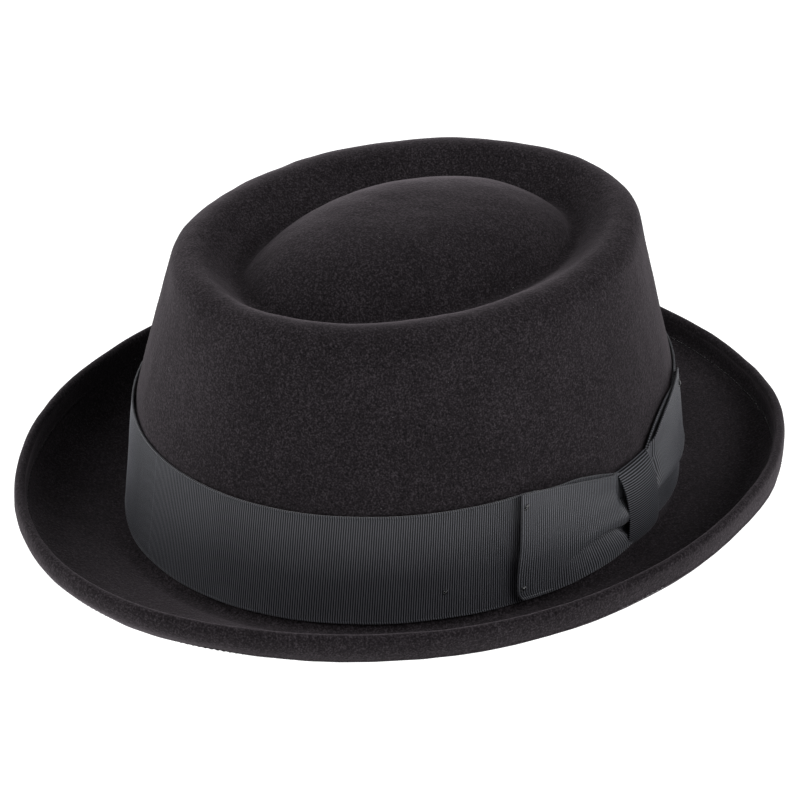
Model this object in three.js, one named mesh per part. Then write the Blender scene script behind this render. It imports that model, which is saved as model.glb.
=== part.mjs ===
// Porkpie hat in black felt with a grosgrain band and bow.
// Millimetres. +Z is up, the front of the hat faces -Y and the wearer's left, with the bow, is +X.
// The hat rests on the flat ring of felt round its head opening, at z = 0.
import * as THREE from "three";

// Felt
const FELT = 2;
const HEAD_LENGTH = 200;
const HEAD_WIDTH = 172;
const CROWN_HEIGHT = 108.5;
const SEAT_WIDTH = 5;
const BREAK_RADIUS = 2;
const SHOULDER_RADIUS = 60;
const RIM_RADIUS = 12;
const GROOVE_RADIUS = 3.5;
const GROOVE_DEPTH = 19;
const TIP_RISE = 21;
const TIP_FLATNESS = 3.4;

// Edge of the brim, a folded welt on the underside
const WELT_WIDTH = 7;
const WELT = 3.6;
const WELT_STEP = 0.8;

// Ribbon
const RIBBON = 1;
const GAP = 0.3;
const BAND_WIDTH = 41;
const BAND_LIFT = 2.8;
const BAND_PINCH_TOP = 7;
const BAND_PINCH_FOOT = 3.5;
const BOW_ANGLE = 117;
const BOW_LENGTH = 102;
const BOW_PINCH = 28;
const BOW_PUFF = 1.3;
const FOLD_RADIUS = 1.3;
const KNOT_WIDTH = 16.5;
const KNOT_FLARE = 1.5;

// Ovals of the felt, from the brim's edge to the groove in the crown.
// length, width and shift are shares of the head oval, taper narrows an oval toward the back.
const OVALS = {
  lip: { length: 1.367, width: 1.298, shift: 0.006, taper: 0.004 },
  turn: { length: 1.395, width: 1.301, shift: 0.006, taper: 0.004 },
  base: { length: 1, width: 1, shift: 0, taper: 0.015 },
  shoulder: { length: 0.960, width: 0.966, shift: 0.007, taper: -0.03 },
  rim: { length: 0.810, width: 0.755, shift: 0.013, taper: -0.015 },
  groove: { length: 0.621, width: 0.467, shift: 0.014, taper: -0.015 },
};

// Unevenness of the brim's edge seen from above, as shares of the head oval:
// its three lobes and its four soft corners.
const EDGE_SWING = { lobes: 0.0075, corners: 0.004 };

// Heights of the brim's edge over the felt of the seat, as shares of the crown's height.
// sway, tilt, twist and corners are its uneven rise and fall as it goes round.
const EDGE_HEIGHTS = {
  lip: {
    front: 0.171, side: 0.175, back: 0.098,
    sway: 0.041, tilt: -0.0145, twist: 0.0245, corners: -0.011,
  },
  turn: {
    front: 0.105, side: 0.0355, back: 0.03,
    sway: -0.0065, tilt: 0.008, twist: 0, corners: 0,
  },
};

// Counts of facets
const AROUND = 56;
const WELT_ROWS = 3;
const BRIM_SHARES = [0.14, 0.3, 0.6, 1];
const BREAK_ROWS = 3;
const SHOULDER_ROWS = 3;
const RIM_ROWS = 7;
const GROOVE_ROWS = 4;
const TIP_SHARES = [0.85, 0.7, 0.52, 0.34, 0.17];
const EDGE_ANGLES = [45, 90, 135];
const TURN_REACH = 0.45;
const CURVE_STEPS = 40;

const FULL_TURN = 2 * Math.PI;
const UP = new THREE.Vector3(0, 0, 1);
const vector = (x, y, z) => new THREE.Vector3(x, y, z);
const degrees = (angle) => (angle * Math.PI) / 180;
const mix = (a, b, share) => a.clone().lerp(b, share);
const direction = (from, to) => to.clone().sub(from).normalize();

// Point of an oval at an angle round the hat: 0 is the front, a quarter turn the wearer's left.
function ovalPoint(oval, angle, height) {
  const ahead = -Math.cos(angle);
  const aside = Math.sin(angle);
  const x = (HEAD_WIDTH / 2) * oval.width * aside * (1 + oval.taper * ahead);
  const y = HEAD_LENGTH * (0.5 * oval.length * ahead + oval.shift);
  return vector(x, y, height);
}

function edgeHeight(heights, angle) {
  const ahead = -Math.cos(angle);
  const aside = Math.sin(angle);
  const middle = (heights.front + heights.back) / 2;
  const lean = (heights.back - heights.front) / 2;
  const level = middle + lean * ahead + (heights.side - middle) * aside * aside;
  const swing = heights.sway * ahead * aside * aside + heights.tilt * aside;
  const wave = heights.twist * ahead * aside + heights.corners * Math.cos(4 * angle);
  return FELT + CROWN_HEIGHT * (level + swing + wave);
}

// Point of the brim's edge, or of the curve's control line under it, at an angle round the hat.
function edgePoint(name, angle) {
  const { lobes, corners } = EDGE_SWING;
  const swing = 1 + lobes * Math.cos(3 * angle) + corners * Math.cos(4 * angle);
  const { x, y } = ovalPoint(OVALS[name], angle, 0).multiplyScalar(swing);
  return vector(x, y, edgeHeight(EDGE_HEIGHTS[name], angle));
}

// Corners of the felt's upper face at an angle round the hat.
function corners(angle) {
  const top = FELT + CROWN_HEIGHT;
  const lip = edgePoint("lip", angle);
  const turn = edgePoint("turn", angle);
  const base = ovalPoint(OVALS.base, angle, FELT);
  const outward = vector(turn.x - base.x, turn.y - base.y, 0).normalize();
  return {
    lip,
    turn,
    seat: base.clone().addScaledVector(outward, SEAT_WIDTH),
    base,
    shoulder: ovalPoint(OVALS.shoulder, angle, FELT + BAND_LIFT + BAND_WIDTH),
    rim: ovalPoint(OVALS.rim, angle, top),
    groove: ovalPoint(OVALS.groove, angle, top - GROOVE_DEPTH),
  };
}

// Round of a corner, as points with the direction of travel at each.
function rounded(before, corner, after, radius, count) {
  const back = direction(corner, before);
  const on = direction(corner, after);
  const half = Math.acos(THREE.MathUtils.clamp(back.dot(on), -1, 1)) / 2;
  const most = 0.48 * Math.min(before.distanceTo(corner), after.distanceTo(corner));
  const reach = Math.min(radius / Math.tan(half), most);
  const size = reach * Math.tan(half);
  const bisector = back.clone().add(on).normalize();
  const centre = corner.clone().addScaledVector(bisector, size / Math.sin(half));
  const start = corner.clone().addScaledVector(back, reach).sub(centre);
  const sweep = Math.PI - 2 * half;
  const travel = back.clone().negate();
  const rows = [];
  for (let k = 0; k < count; k += 1) {
    const turned = (sweep * k) / (count - 1);
    const point = centre
      .clone()
      .addScaledVector(start, Math.cos(turned))
      .addScaledVector(travel, size * Math.sin(turned));
    const along = travel
      .clone()
      .multiplyScalar(Math.cos(turned))
      .addScaledVector(start, -Math.sin(turned) / size);
    rows.push({ point, along: along.normalize(), thick: FELT });
  }
  return rows;
}

// Point of the brim's upper face a distance in from its edge: a turned-up curve, then a slope.
function brimPath({ lip, turn, seat }) {
  const landing = mix(turn, seat, TURN_REACH);
  const points = [];
  for (let k = 0; k <= CURVE_STEPS; k += 1) {
    const share = k / CURVE_STEPS;
    points.push(mix(mix(lip, turn, share), mix(turn, landing, share), share));
  }
  points.push(seat.clone());
  const reached = [0];
  for (let k = 1; k < points.length; k += 1) {
    reached.push(reached[k - 1] + points[k].distanceTo(points[k - 1]));
  }
  const total = reached[reached.length - 1];
  const at = (distance) => {
    let k = 1;
    while (k < points.length - 1 && reached[k] < distance) {
      k += 1;
    }
    const share = (distance - reached[k - 1]) / (reached[k] - reached[k - 1]);
    return { point: mix(points[k - 1], points[k], share), along: direction(points[k - 1], points[k]) };
  };
  return { total, at };
}

// Upper face of the felt at an angle, from the brim's edge to the middle of the crown.
function profile(angle) {
  const { lip, turn, seat, base, shoulder, rim, groove } = corners(angle);
  const brim = brimPath({ lip, turn, seat });
  const rows = [];
  for (let k = 0; k <= WELT_ROWS; k += 1) {
    rows.push({ ...brim.at((WELT_WIDTH * k) / WELT_ROWS), thick: WELT });
  }
  const start = WELT_WIDTH + WELT_STEP;
  rows.push({ ...brim.at(start), thick: FELT });
  for (const share of BRIM_SHARES) {
    rows.push({ ...brim.at(start + (brim.total - start) * share), thick: FELT });
  }
  rows[rows.length - 1].along = direction(seat, base);
  rows.push(...rounded(seat, base, shoulder, BREAK_RADIUS, BREAK_ROWS));
  rows.push(...rounded(base, shoulder, rim, SHOULDER_RADIUS, SHOULDER_ROWS));
  rows.push(...rounded(shoulder, rim, groove, RIM_RADIUS, RIM_ROWS));
  const middle = tipMiddle();
  const tipPoint = (share) => {
    const point = mix(middle, groove, share);
    point.z = groove.z + TIP_RISE * (1 - share ** TIP_FLATNESS);
    return point;
  };
  rows.push(...rounded(rim, groove, tipPoint(TIP_SHARES[0]), GROOVE_RADIUS, GROOVE_ROWS));
  for (const share of TIP_SHARES) {
    const point = tipPoint(share);
    const step = 0.01;
    rows.push({ point, along: direction(point, tipPoint(share - step)), thick: FELT });
  }
  return rows;
}

function tipMiddle() {
  const y = HEAD_LENGTH * OVALS.groove.shift;
  return vector(0, y, FELT + CROWN_HEIGHT - GROOVE_DEPTH + TIP_RISE);
}

// Rows of the upper face with the direction out of the felt at each.
function feltRows(angle) {
  const step = 0.001;
  const rows = profile(angle);
  const before = profile(angle - step);
  const after = profile(angle + step);
  rows.forEach((row, k) => {
    const across = direction(before[k].point, after[k].point);
    row.out = across.cross(row.along).normalize();
  });
  return rows;
}

function underPoint(row) {
  const point = row.point.clone().addScaledVector(row.out, -row.thick);
  return point.z < GAP / 2 ? vector(point.x, point.y, 0) : point;
}

// Felt from the middle of its upper face, round the brim's edge and back under to the middle.
function feltLoop(angle) {
  const rows = feltRows(angle);
  const edge = rows[0];
  const centre = edge.point.clone().addScaledVector(edge.out, -edge.thick / 2);
  const nose = EDGE_ANGLES.map((turned) =>
    centre
      .clone()
      .addScaledVector(edge.out, (edge.thick / 2) * Math.cos(degrees(turned)))
      .addScaledVector(edge.along, (-edge.thick / 2) * Math.sin(degrees(turned))),
  );
  const upper = rows.map((row) => row.point).reverse();
  const under = rows.map(underPoint);
  return [...upper, ...nose, ...under];
}

function geometryOf(points, triangles) {
  const geometry = new THREE.BufferGeometry();
  const places = points.flatMap((point) => [point.x, point.y, point.z]);
  geometry.setAttribute("position", new THREE.Float32BufferAttribute(places, 3));
  geometry.setIndex(triangles.flat());
  geometry.computeVertexNormals();
  return geometry;
}

function feltBody() {
  const points = [];
  for (let j = 0; j < AROUND; j += 1) {
    points.push(...feltLoop((FULL_TURN * j) / AROUND));
  }
  const rings = points.length / AROUND;
  const at = (ring, j) => (j % AROUND) * rings + ring;
  const top = points.push(tipMiddle()) - 1;
  const under = points.push(tipMiddle().addScaledVector(UP, -FELT)) - 1;
  const triangles = [];
  for (let j = 0; j < AROUND; j += 1) {
    triangles.push([top, at(0, j), at(0, j + 1)]);
    for (let ring = 0; ring < rings - 1; ring += 1) {
      triangles.push([at(ring, j), at(ring + 1, j), at(ring + 1, j + 1)]);
      triangles.push([at(ring, j), at(ring + 1, j + 1), at(ring, j + 1)]);
    }
    triangles.push([under, at(rings - 1, j + 1), at(rings - 1, j)]);
  }
  return geometryOf(points, triangles);
}

// Closed strip: a loop of steps, each with a closed ring of points round the strip's section.
function closedStrip(steps, section, inward) {
  const points = [];
  for (let i = 0; i < steps; i += 1) {
    points.push(...section(i / steps));
  }
  const rings = points.length / steps;
  const at = (i, j) => (i % steps) * rings + (j % rings);
  const triangles = [];
  for (let i = 0; i < steps; i += 1) {
    for (let j = 0; j < rings; j += 1) {
      const one = [at(i, j), at(i + 1, j), at(i + 1, j + 1)];
      const two = [at(i, j), at(i + 1, j + 1), at(i, j + 1)];
      triangles.push(inward ? one.reverse() : one, inward ? two.reverse() : two);
    }
  }
  return geometryOf(points, triangles);
}

// Point out from the crown's wall: climb is measured up the wall from the brim.
function wallPoint(angle, climb, off) {
  const step = 0.001;
  const place = (turned) => {
    const { base, shoulder } = corners(turned);
    return base.clone().addScaledVector(direction(base, shoulder), climb);
  };
  const point = place(angle);
  const across = direction(place(angle - step), place(angle + step));
  const { base, shoulder } = corners(angle);
  const out = across.cross(direction(base, shoulder)).normalize();
  return point.addScaledVector(out, off);
}

// Ring of points round a strip's section, up one face and down the other.
const STRIP_SHARES = [0, 0.25, 0.5, 0.75, 1];

// Share of the knot's pinch that the band takes: 1 behind the knot, 0 past the ends of the bow.
function bandPinch(angle) {
  const mark = MARKS.find((each) => each.angle >= angle);
  return mark ? 1 - smooth(wingShare(mark.reached)) : 0;
}

function hatBand() {
  const inner = GAP;
  const outer = GAP + RIBBON;
  const section = (share) => {
    const angle = FULL_TURN * share;
    const pinch = bandPinch(angle);
    const low = BAND_LIFT + BAND_PINCH_FOOT * pinch;
    const high = BAND_LIFT + BAND_WIDTH - BAND_PINCH_TOP * pinch;
    const face = (off) => STRIP_SHARES.map((up) => wallPoint(angle, low + (high - low) * up, off));
    return [...face(outer), ...face(inner).reverse()];
  };
  return closedStrip(AROUND, section, false);
}

// Angle round the hat at a distance along the band's middle from the bow's middle.
function bandAngles() {
  const middle = BAND_LIFT + BAND_WIDTH / 2;
  const step = degrees(0.5);
  const marks = [];
  for (const way of [-1, 1]) {
    let angle = degrees(BOW_ANGLE);
    let reached = 0;
    let last = wallPoint(angle, middle, GAP + RIBBON);
    while (reached < BOW_LENGTH) {
      marks.push({ reached: way * reached, angle });
      angle += way * step;
      const next = wallPoint(angle, middle, GAP + RIBBON);
      reached += next.distanceTo(last);
      last = next;
    }
  }
  return marks.sort((a, b) => a.reached - b.reached);
}

const MARKS = bandAngles();

// Point on the bow: distance along the band, climb up the wall, distance off the band's face.
function bowPoint(along, climb, off) {
  let k = 1;
  while (k < MARKS.length - 1 && MARKS[k].reached < along) {
    k += 1;
  }
  const { reached, angle } = MARKS[k - 1];
  const share = (along - reached) / (MARKS[k].reached - reached || 1);
  const turned = angle + (MARKS[k].angle - angle) * share;
  return wallPoint(turned, climb, GAP + RIBBON + off);
}

const smooth = (value) => THREE.MathUtils.smoothstep(value, 0, 1);

// Offsets off the band of the middle of each layer of ribbon at the knot
const KNOT_BACK = GAP + RIBBON / 2;
const BOW_BACK = KNOT_BACK + RIBBON + GAP;
const BOW_FRONT = BOW_BACK + RIBBON + GAP;
const KNOT_FRONT = BOW_FRONT + RIBBON + GAP;

// Wing of the bow: share runs from the knot's edge (0) to the wing's end (1).
function wingShare(along) {
  const start = KNOT_WIDTH / 2 + KNOT_FLARE;
  return THREE.MathUtils.clamp((Math.abs(along) - start) / (BOW_LENGTH / 2 - start), 0, 1);
}

function wingClimb(along, up) {
  const height = BOW_PINCH + (BAND_WIDTH - BOW_PINCH) * smooth(wingShare(along) * 1.15);
  return BAND_LIFT + BAND_WIDTH / 2 + height * (up - 0.5);
}

const endBack = KNOT_BACK;
const endFront = endBack + 2 * FOLD_RADIUS;
const backOff = (along) => BOW_BACK + (endBack - BOW_BACK) * smooth(wingShare(along) * 1.6);

function frontOff(along, up) {
  const share = wingShare(along);
  const puff = BOW_PUFF * Math.sin(Math.PI * share) * (0.7 + 0.3 * Math.sin(Math.PI * up));
  return BOW_FRONT + (endFront - BOW_FRONT) * smooth(share) + puff;
}

// Loop of the bow's middle line at a height: front layer, fold, back layer, fold.
const FRONT_STEPS = 22;
const BACK_STEPS = 14;
const FOLD_STEPS = 3;

function bowLine(up) {
  const end = BOW_LENGTH / 2 - FOLD_RADIUS;
  const line = [];
  for (let k = 0; k <= FRONT_STEPS; k += 1) {
    const along = -end + (2 * end * k) / FRONT_STEPS;
    line.push({ along, off: frontOff(along, up) });
  }
  const fold = (way) => {
    for (let k = 1; k <= FOLD_STEPS; k += 1) {
      const turned = (way * Math.PI * k) / (FOLD_STEPS + 1);
      const reach = FOLD_RADIUS * Math.sin(Math.abs(turned));
      const off = (endFront + endBack) / 2 + way * FOLD_RADIUS * Math.cos(turned);
      line.push({ along: way * (end + reach), off });
    }
  };
  fold(1);
  for (let k = 0; k <= BACK_STEPS; k += 1) {
    const along = end - (2 * end * k) / BACK_STEPS;
    line.push({ along, off: backOff(along) });
  }
  fold(-1);
  return line;
}

// Offset of a closed line in its own plane by half the ribbon, outward or inward.
function offsetLine(line, side) {
  return line.map(({ along, off }, k) => {
    const before = line[(k + line.length - 1) % line.length];
    const after = line[(k + 1) % line.length];
    const run = after.along - before.along;
    const rise = after.off - before.off;
    const size = Math.hypot(run, rise);
    const half = (side * RIBBON) / 2;
    return { along: along - (half * rise) / size, off: off + (half * run) / size };
  });
}

function bow() {
  const lines = STRIP_SHARES.map((up) => bowLine(up));
  const outer = lines.map((line) => offsetLine(line, 1));
  const inner = lines.map((line) => offsetLine(line, -1));
  const steps = lines[0].length;
  const section = (share) => {
    const i = Math.round(share * steps);
    const face = (layer) =>
      STRIP_SHARES.map((up, k) => {
        const { along, off } = layer[k][i];
        return bowPoint(along, wingClimb(along, up), off);
      });
    return [...face(outer), ...face(inner).reverse()];
  };
  return closedStrip(steps, section, false);
}

// Knot: a short loop of ribbon wound round the bow's middle, top to bottom.
const KNOT_STEPS = 8;
const KNOT_TURN_STEPS = 3;

function knotLine() {
  const low = BAND_LIFT + (BAND_WIDTH - BOW_PINCH) / 2 - GAP;
  const high = low + BOW_PINCH + 2 * GAP;
  const middle = (KNOT_FRONT + KNOT_BACK) / 2;
  const depth = (KNOT_FRONT - KNOT_BACK) / 2;
  const line = [];
  for (let k = 0; k <= KNOT_STEPS; k += 1) {
    line.push({ climb: low + ((high - low) * k) / KNOT_STEPS, off: KNOT_FRONT });
  }
  const round = (climb, way) => {
    for (let k = 1; k <= KNOT_TURN_STEPS; k += 1) {
      const turned = (Math.PI * k) / (KNOT_TURN_STEPS + 1);
      const reach = way * RIBBON * Math.sin(turned);
      line.push({ climb: climb + reach, off: middle + way * depth * Math.cos(turned) });
    }
  };
  round(high, 1);
  for (let k = 0; k <= KNOT_STEPS; k += 1) {
    line.push({ climb: high - ((high - low) * k) / KNOT_STEPS, off: KNOT_BACK });
  }
  round(low, -1);
  return line;
}

function bowKnot() {
  const line = knotLine();
  const middle = BAND_LIFT + BAND_WIDTH / 2;
  const shifted = line.map(({ climb, off }) => ({ along: climb, off }));
  const outer = offsetLine(shifted, 1);
  const inner = offsetLine(shifted, -1);
  const section = (share) => {
    const i = Math.round(share * line.length);
    const face = (layer) =>
      STRIP_SHARES.map((across) => {
        const { along: climb, off } = layer[i];
        const flare = Math.abs(climb - middle) / (BAND_WIDTH / 2);
        const width = KNOT_WIDTH + KNOT_FLARE * flare * flare;
        return bowPoint(width * (across - 0.5), climb, off);
      });
    return [...face(outer), ...face(inner).reverse()];
  };
  return closedStrip(line.length, section, true);
}

function part(name, geometry, color, roughness) {
  const material = new THREE.MeshStandardMaterial({ color, roughness, metalness: 0 });
  const mesh = new THREE.Mesh(geometry, material);
  mesh.name = name;
  return mesh;
}

const FELT_COLOR = "#1f1d20";
const RIBBON_COLOR = "#2b2c31";

const hat = new THREE.Group();
hat.name = "porkpie_hat";
hat.add(
  part("felt_body", feltBody(), FELT_COLOR, 0.95),
  part("hat_band", hatBand(), RIBBON_COLOR, 0.6),
  part("bow", bow(), RIBBON_COLOR, 0.6),
  part("bow_knot", bowKnot(), RIBBON_COLOR, 0.6),
);

export default hat;
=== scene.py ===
"""Dresses the porkpie hat: felt with its nap, ribbed band, pleated bow, knot and stitching."""

import bpy
import numpy as np
from mathutils import Matrix, Vector

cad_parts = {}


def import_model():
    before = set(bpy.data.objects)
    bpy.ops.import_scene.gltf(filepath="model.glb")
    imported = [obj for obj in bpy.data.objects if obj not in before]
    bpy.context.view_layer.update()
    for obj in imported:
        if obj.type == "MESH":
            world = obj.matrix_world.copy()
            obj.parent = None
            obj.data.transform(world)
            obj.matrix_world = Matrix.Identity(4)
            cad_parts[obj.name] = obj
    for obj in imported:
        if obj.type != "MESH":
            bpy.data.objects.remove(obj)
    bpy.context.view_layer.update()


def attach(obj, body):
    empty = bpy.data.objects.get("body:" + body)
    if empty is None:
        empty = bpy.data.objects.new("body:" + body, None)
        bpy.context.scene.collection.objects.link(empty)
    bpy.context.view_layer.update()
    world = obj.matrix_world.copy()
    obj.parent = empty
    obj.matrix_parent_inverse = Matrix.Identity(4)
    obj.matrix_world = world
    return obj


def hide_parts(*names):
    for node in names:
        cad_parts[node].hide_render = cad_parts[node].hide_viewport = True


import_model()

# Sizes are in millimetres, as in the solids, and turned to metres where a mesh is made
MM = 0.001
FELT = 2.0
HEAD_LENGTH = 200.0
HEAD_WIDTH = 172.0
CROWN_HEIGHT = 108.5
CROWN_TOP = FELT + CROWN_HEIGHT
SEAT_WIDTH = 5.0
BREAK_RADIUS = 2.0
SHOULDER_RADIUS = 60.0
RIM_RADIUS = 12.0
GROOVE_RADIUS = 3.5
GROOVE_DEPTH = 19.0
TIP_RISE = 21.0
TIP_FLATNESS = 3.4
WELT_WIDTH = 7.0
WELT = 3.6
WELT_STEP = 0.8
TURN_REACH = 0.45
BAND_WIDTH = 41.0
BAND_LIFT = 2.8
SHOULDER_HEIGHT = FELT + BAND_LIFT + BAND_WIDTH
BOW_ANGLE = 117.0
BOW_LENGTH = 102.0
KNOT_WIDTH = 16.8

# Ovals: length, width, shift and taper as shares of the head oval
OVALS = {
    "lip": (1.367, 1.298, 0.006, 0.004),
    "turn": (1.395, 1.301, 0.006, 0.004),
    "base": (1.0, 1.0, 0.0, 0.015),
    "shoulder": (0.960, 0.966, 0.007, -0.03),
    "rim": (0.810, 0.755, 0.013, -0.015),
    "groove": (0.621, 0.467, 0.014, -0.015),
}

# Unevenness of the brim's edge seen from above: lobes and soft corners
EDGE_SWING = (0.0075, 0.004)

# Heights of the brim's edge as shares of the crown's height: front, side and back, then the
# sway, tilt, twist and corners of its uneven rise and fall
EDGE_HEIGHTS = {
    "lip": (0.171, 0.175, 0.098, 0.041, -0.0145, 0.0245, -0.011),
    "turn": (0.105, 0.0355, 0.03, -0.0065, 0.008, 0.0, 0.0),
}

FULL_TURN = 2 * np.pi
# Step between two angles that a direction is taken from, and the least length it may have
ANGLE_STEP = 0.001
LEAST_LENGTH = 1e-12


def unit(v):
    return v / np.maximum(np.linalg.norm(v, axis=-1, keepdims=True), LEAST_LENGTH)


def smooth(value):
    """Eased step: 0 below 0, 1 above 1."""
    t = np.clip(value, 0, 1)
    return t * t * (3 - 2 * t)


def mix(a, b, share):
    return a + (b - a) * share


def bump(value, centre, width):
    """Rounded bump of height 1 at centre."""
    return np.exp(-(((value - centre) / width) ** 2))


def reached(line):
    """Length along a line at each of its points, or along every column of a grid."""
    steps = np.linalg.norm(np.diff(line, axis=0), axis=-1)
    return np.concatenate([np.zeros((1,) + steps.shape[1:]), np.cumsum(steps, axis=0)])


WAVE_COUNT = 28
WAVE_SPREAD = (0.6, 1.5)


def waves(points, size, seed):
    """Smooth uneven field over points, about -1 to 1, with features of a size in millimetres."""
    rng = np.random.default_rng(seed)
    ways = unit(rng.normal(size=(WAVE_COUNT, 3))) * (FULL_TURN / size)
    ways = ways * rng.uniform(*WAVE_SPREAD, (WAVE_COUNT, 1))
    starts = rng.uniform(0, FULL_TURN, WAVE_COUNT)
    total = np.zeros(points.shape[:-1])
    for way, start in zip(ways, starts):
        total += np.cos(points @ way + start)
    return total / np.sqrt(WAVE_COUNT / 2)


# Shape of the felt. An angle is 0 at the front and a quarter turn at the wearer's left
def oval_point(name, angle, height):
    length, width, shift, taper = OVALS[name]
    ahead, aside = -np.cos(angle), np.sin(angle)
    x = HEAD_WIDTH / 2 * width * aside * (1 + taper * ahead)
    y = HEAD_LENGTH * (0.5 * length * ahead + shift)
    return np.stack([x, y, np.broadcast_to(height, np.shape(angle))], -1)


def edge_height(name, angle):
    front, side, back, sway, tilt, twist, four = EDGE_HEIGHTS[name]
    ahead, aside = -np.cos(angle), np.sin(angle)
    middle, lean = (front + back) / 2, (back - front) / 2
    level = middle + lean * ahead + (side - middle) * aside * aside
    swing = sway * ahead * aside * aside + tilt * aside
    wave = twist * ahead * aside + four * np.cos(4 * angle)
    return FELT + CROWN_HEIGHT * (level + swing + wave)


def edge_point(name, angle):
    """Point of the brim's edge, or of the curve's control line under it."""
    lobes, four = EDGE_SWING
    swing = 1 + lobes * np.cos(3 * angle) + four * np.cos(4 * angle)
    point = oval_point(name, angle, 0.0) * swing[:, None]
    point[:, 2] = edge_height(name, angle)
    return point


def corners(angle):
    """Corners of the felt's upper face, from the brim's lip to the groove round the tip."""
    lip = edge_point("lip", angle)
    turn = edge_point("turn", angle)
    base = oval_point("base", angle, FELT)
    outward = (turn - base) * (1, 1, 0)
    seat = base + unit(outward) * SEAT_WIDTH
    shoulder = oval_point("shoulder", angle, SHOULDER_HEIGHT)
    rim = oval_point("rim", angle, CROWN_TOP)
    groove = oval_point("groove", angle, CROWN_TOP - GROOVE_DEPTH)
    return lip, turn, seat, base, shoulder, rim, groove


# A rounding takes up no more than this share of the shorter side at its corner
ROUNDED_SHARE = 0.48


def rounded(before, corner, after, radius, count):
    """Points round a corner with the direction of travel at each."""
    back, on = unit(before - corner), unit(after - corner)
    half = np.arccos(np.clip((back * on).sum(-1), -1, 1)) / 2
    sides = [np.linalg.norm(end - corner, axis=-1) for end in (before, after)]
    reach = np.minimum(radius / np.tan(half), ROUNDED_SHARE * np.minimum(*sides))
    size = (reach * np.tan(half))[:, None]
    centre = corner + unit(back + on) * size / np.sin(half)[:, None]
    start = corner + back * reach[:, None] - centre
    rows = []
    for turned in np.linspace(0, 1, count)[:, None] * (np.pi - 2 * half):
        c, s = np.cos(turned)[:, None], np.sin(turned)[:, None]
        rows.append((centre + start * c - back * size * s, unit(-back * c - start * s / size)))
    return rows


def between(first, last, count):
    """Rows on the straight run between two rows, neither of them included."""
    shares = np.linspace(0, 1, count + 2)[1:-1]
    way = unit(last[0] - first[0])
    return [(mix(first[0], last[0], share), way) for share in shares]


BRIM_CURVE_STEPS = 49


def brim_rows(lip, turn, seat, distances, count):
    """Rows of the brim's upper face: at distances in from the edge, then evenly to the seat."""
    landing = mix(turn, seat, TURN_REACH)
    share = np.linspace(0, 1, BRIM_CURVE_STEPS)[:, None, None]
    points = mix(mix(lip, turn, share), mix(turn, landing, share), share)
    points = np.concatenate([points, seat[None]])
    reach = reached(points)
    total, start = reach[-1], distances[-1]
    wanted = [np.full(total.shape, d) for d in distances]
    wanted += [start + (total - start) * s for s in np.linspace(0, 1, count + 1)[1:]]
    rows, column = [], np.arange(len(total))
    for want in wanted:
        k = np.clip((reach < want).sum(0), 1, len(points) - 1)
        near, far = points[k - 1, column], points[k, column]
        passed = want - reach[k - 1, column]
        part = (passed / (reach[k, column] - reach[k - 1, column]))[:, None]
        rows.append((mix(near, far, part), unit(far - near)))
    return rows


# Rows of the felt's mesh: distances in from the brim's edge, closest at the welt's step, then
# counts for each part on the way up, and shares of the way out from the tip's middle with the
# step between two shares that the slope is taken from
WELT_DISTANCES = [0, 0.6, 1.4, 2.4, 3.4, 4.4, 5.4, 6.0, 6.4, 6.8, 7.2, 7.6, 8.2, 9.0]
BRIM_ROWS = 16
BREAK_ROWS = 6
FOOT_ROWS = 14
SHOULDER_ROWS = 9
WALL_ROWS = 18
RIM_ROWS = 18
SLOPE_ROWS = 7
GROOVE_ROWS = 9
TIP_SHARES = np.concatenate([np.linspace(0.97, 0.5, 18), np.linspace(0.45, 0.03, 12)])
TIP_STEP = 0.01
# The groove's rounding aims at the tip's surface at TIP_AIM, and the tip's rows begin
# TIP_CLEARANCE above the end of the rounding
TIP_AIM = 0.85
TIP_CLEARANCE = 0.3


def profile(angle):
    """Rows of the felt's upper face from the brim's edge to the tip.

    Gives points, the direction of travel at each, each row's thickness and the tip's middle."""
    lip, turn, seat, base, shoulder, rim, groove = corners(angle)
    rows = brim_rows(lip, turn, seat, WELT_DISTANCES, BRIM_ROWS)
    past_welt = [smooth((d - WELT_WIDTH) / WELT_STEP) for d in WELT_DISTANCES]
    thick = [FELT + (WELT - FELT) * (1 - past) for past in past_welt]
    rows[-1] = (rows[-1][0], unit(base - seat))
    foot = rounded(seat, base, shoulder, BREAK_RADIUS, BREAK_ROWS)
    waist = rounded(base, shoulder, rim, SHOULDER_RADIUS, SHOULDER_ROWS)
    brow = rounded(shoulder, rim, groove, RIM_RADIUS, RIM_ROWS)
    groove_shift = OVALS["groove"][2]
    middle = np.array([0, HEAD_LENGTH * groove_shift, CROWN_TOP - GROOVE_DEPTH + TIP_RISE])

    def tip(share):
        point = mix(middle, groove, share)
        point[:, 2] = groove[:, 2] + TIP_RISE * (1 - share ** TIP_FLATNESS)
        return point

    valley = rounded(rim, groove, tip(TIP_AIM), GROOVE_RADIUS, GROOVE_ROWS)
    rows += foot + between(foot[-1], waist[0], FOOT_ROWS)
    rows += waist + between(waist[-1], brow[0], WALL_ROWS)
    rows += brow + between(brow[-1], valley[0], SLOPE_ROWS) + valley
    least = valley[-1][0][:, 2] + TIP_CLEARANCE
    kept = [s for s in TIP_SHARES if (tip(s)[:, 2] > least).all()]
    rows += [(tip(s), unit(tip(s - TIP_STEP) - tip(s))) for s in kept]
    thick += [FELT] * (len(rows) - len(thick))
    points, along = (np.stack([row[part] for row in rows]) for part in (0, 1))
    return points, along, np.array(thick), middle


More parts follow.
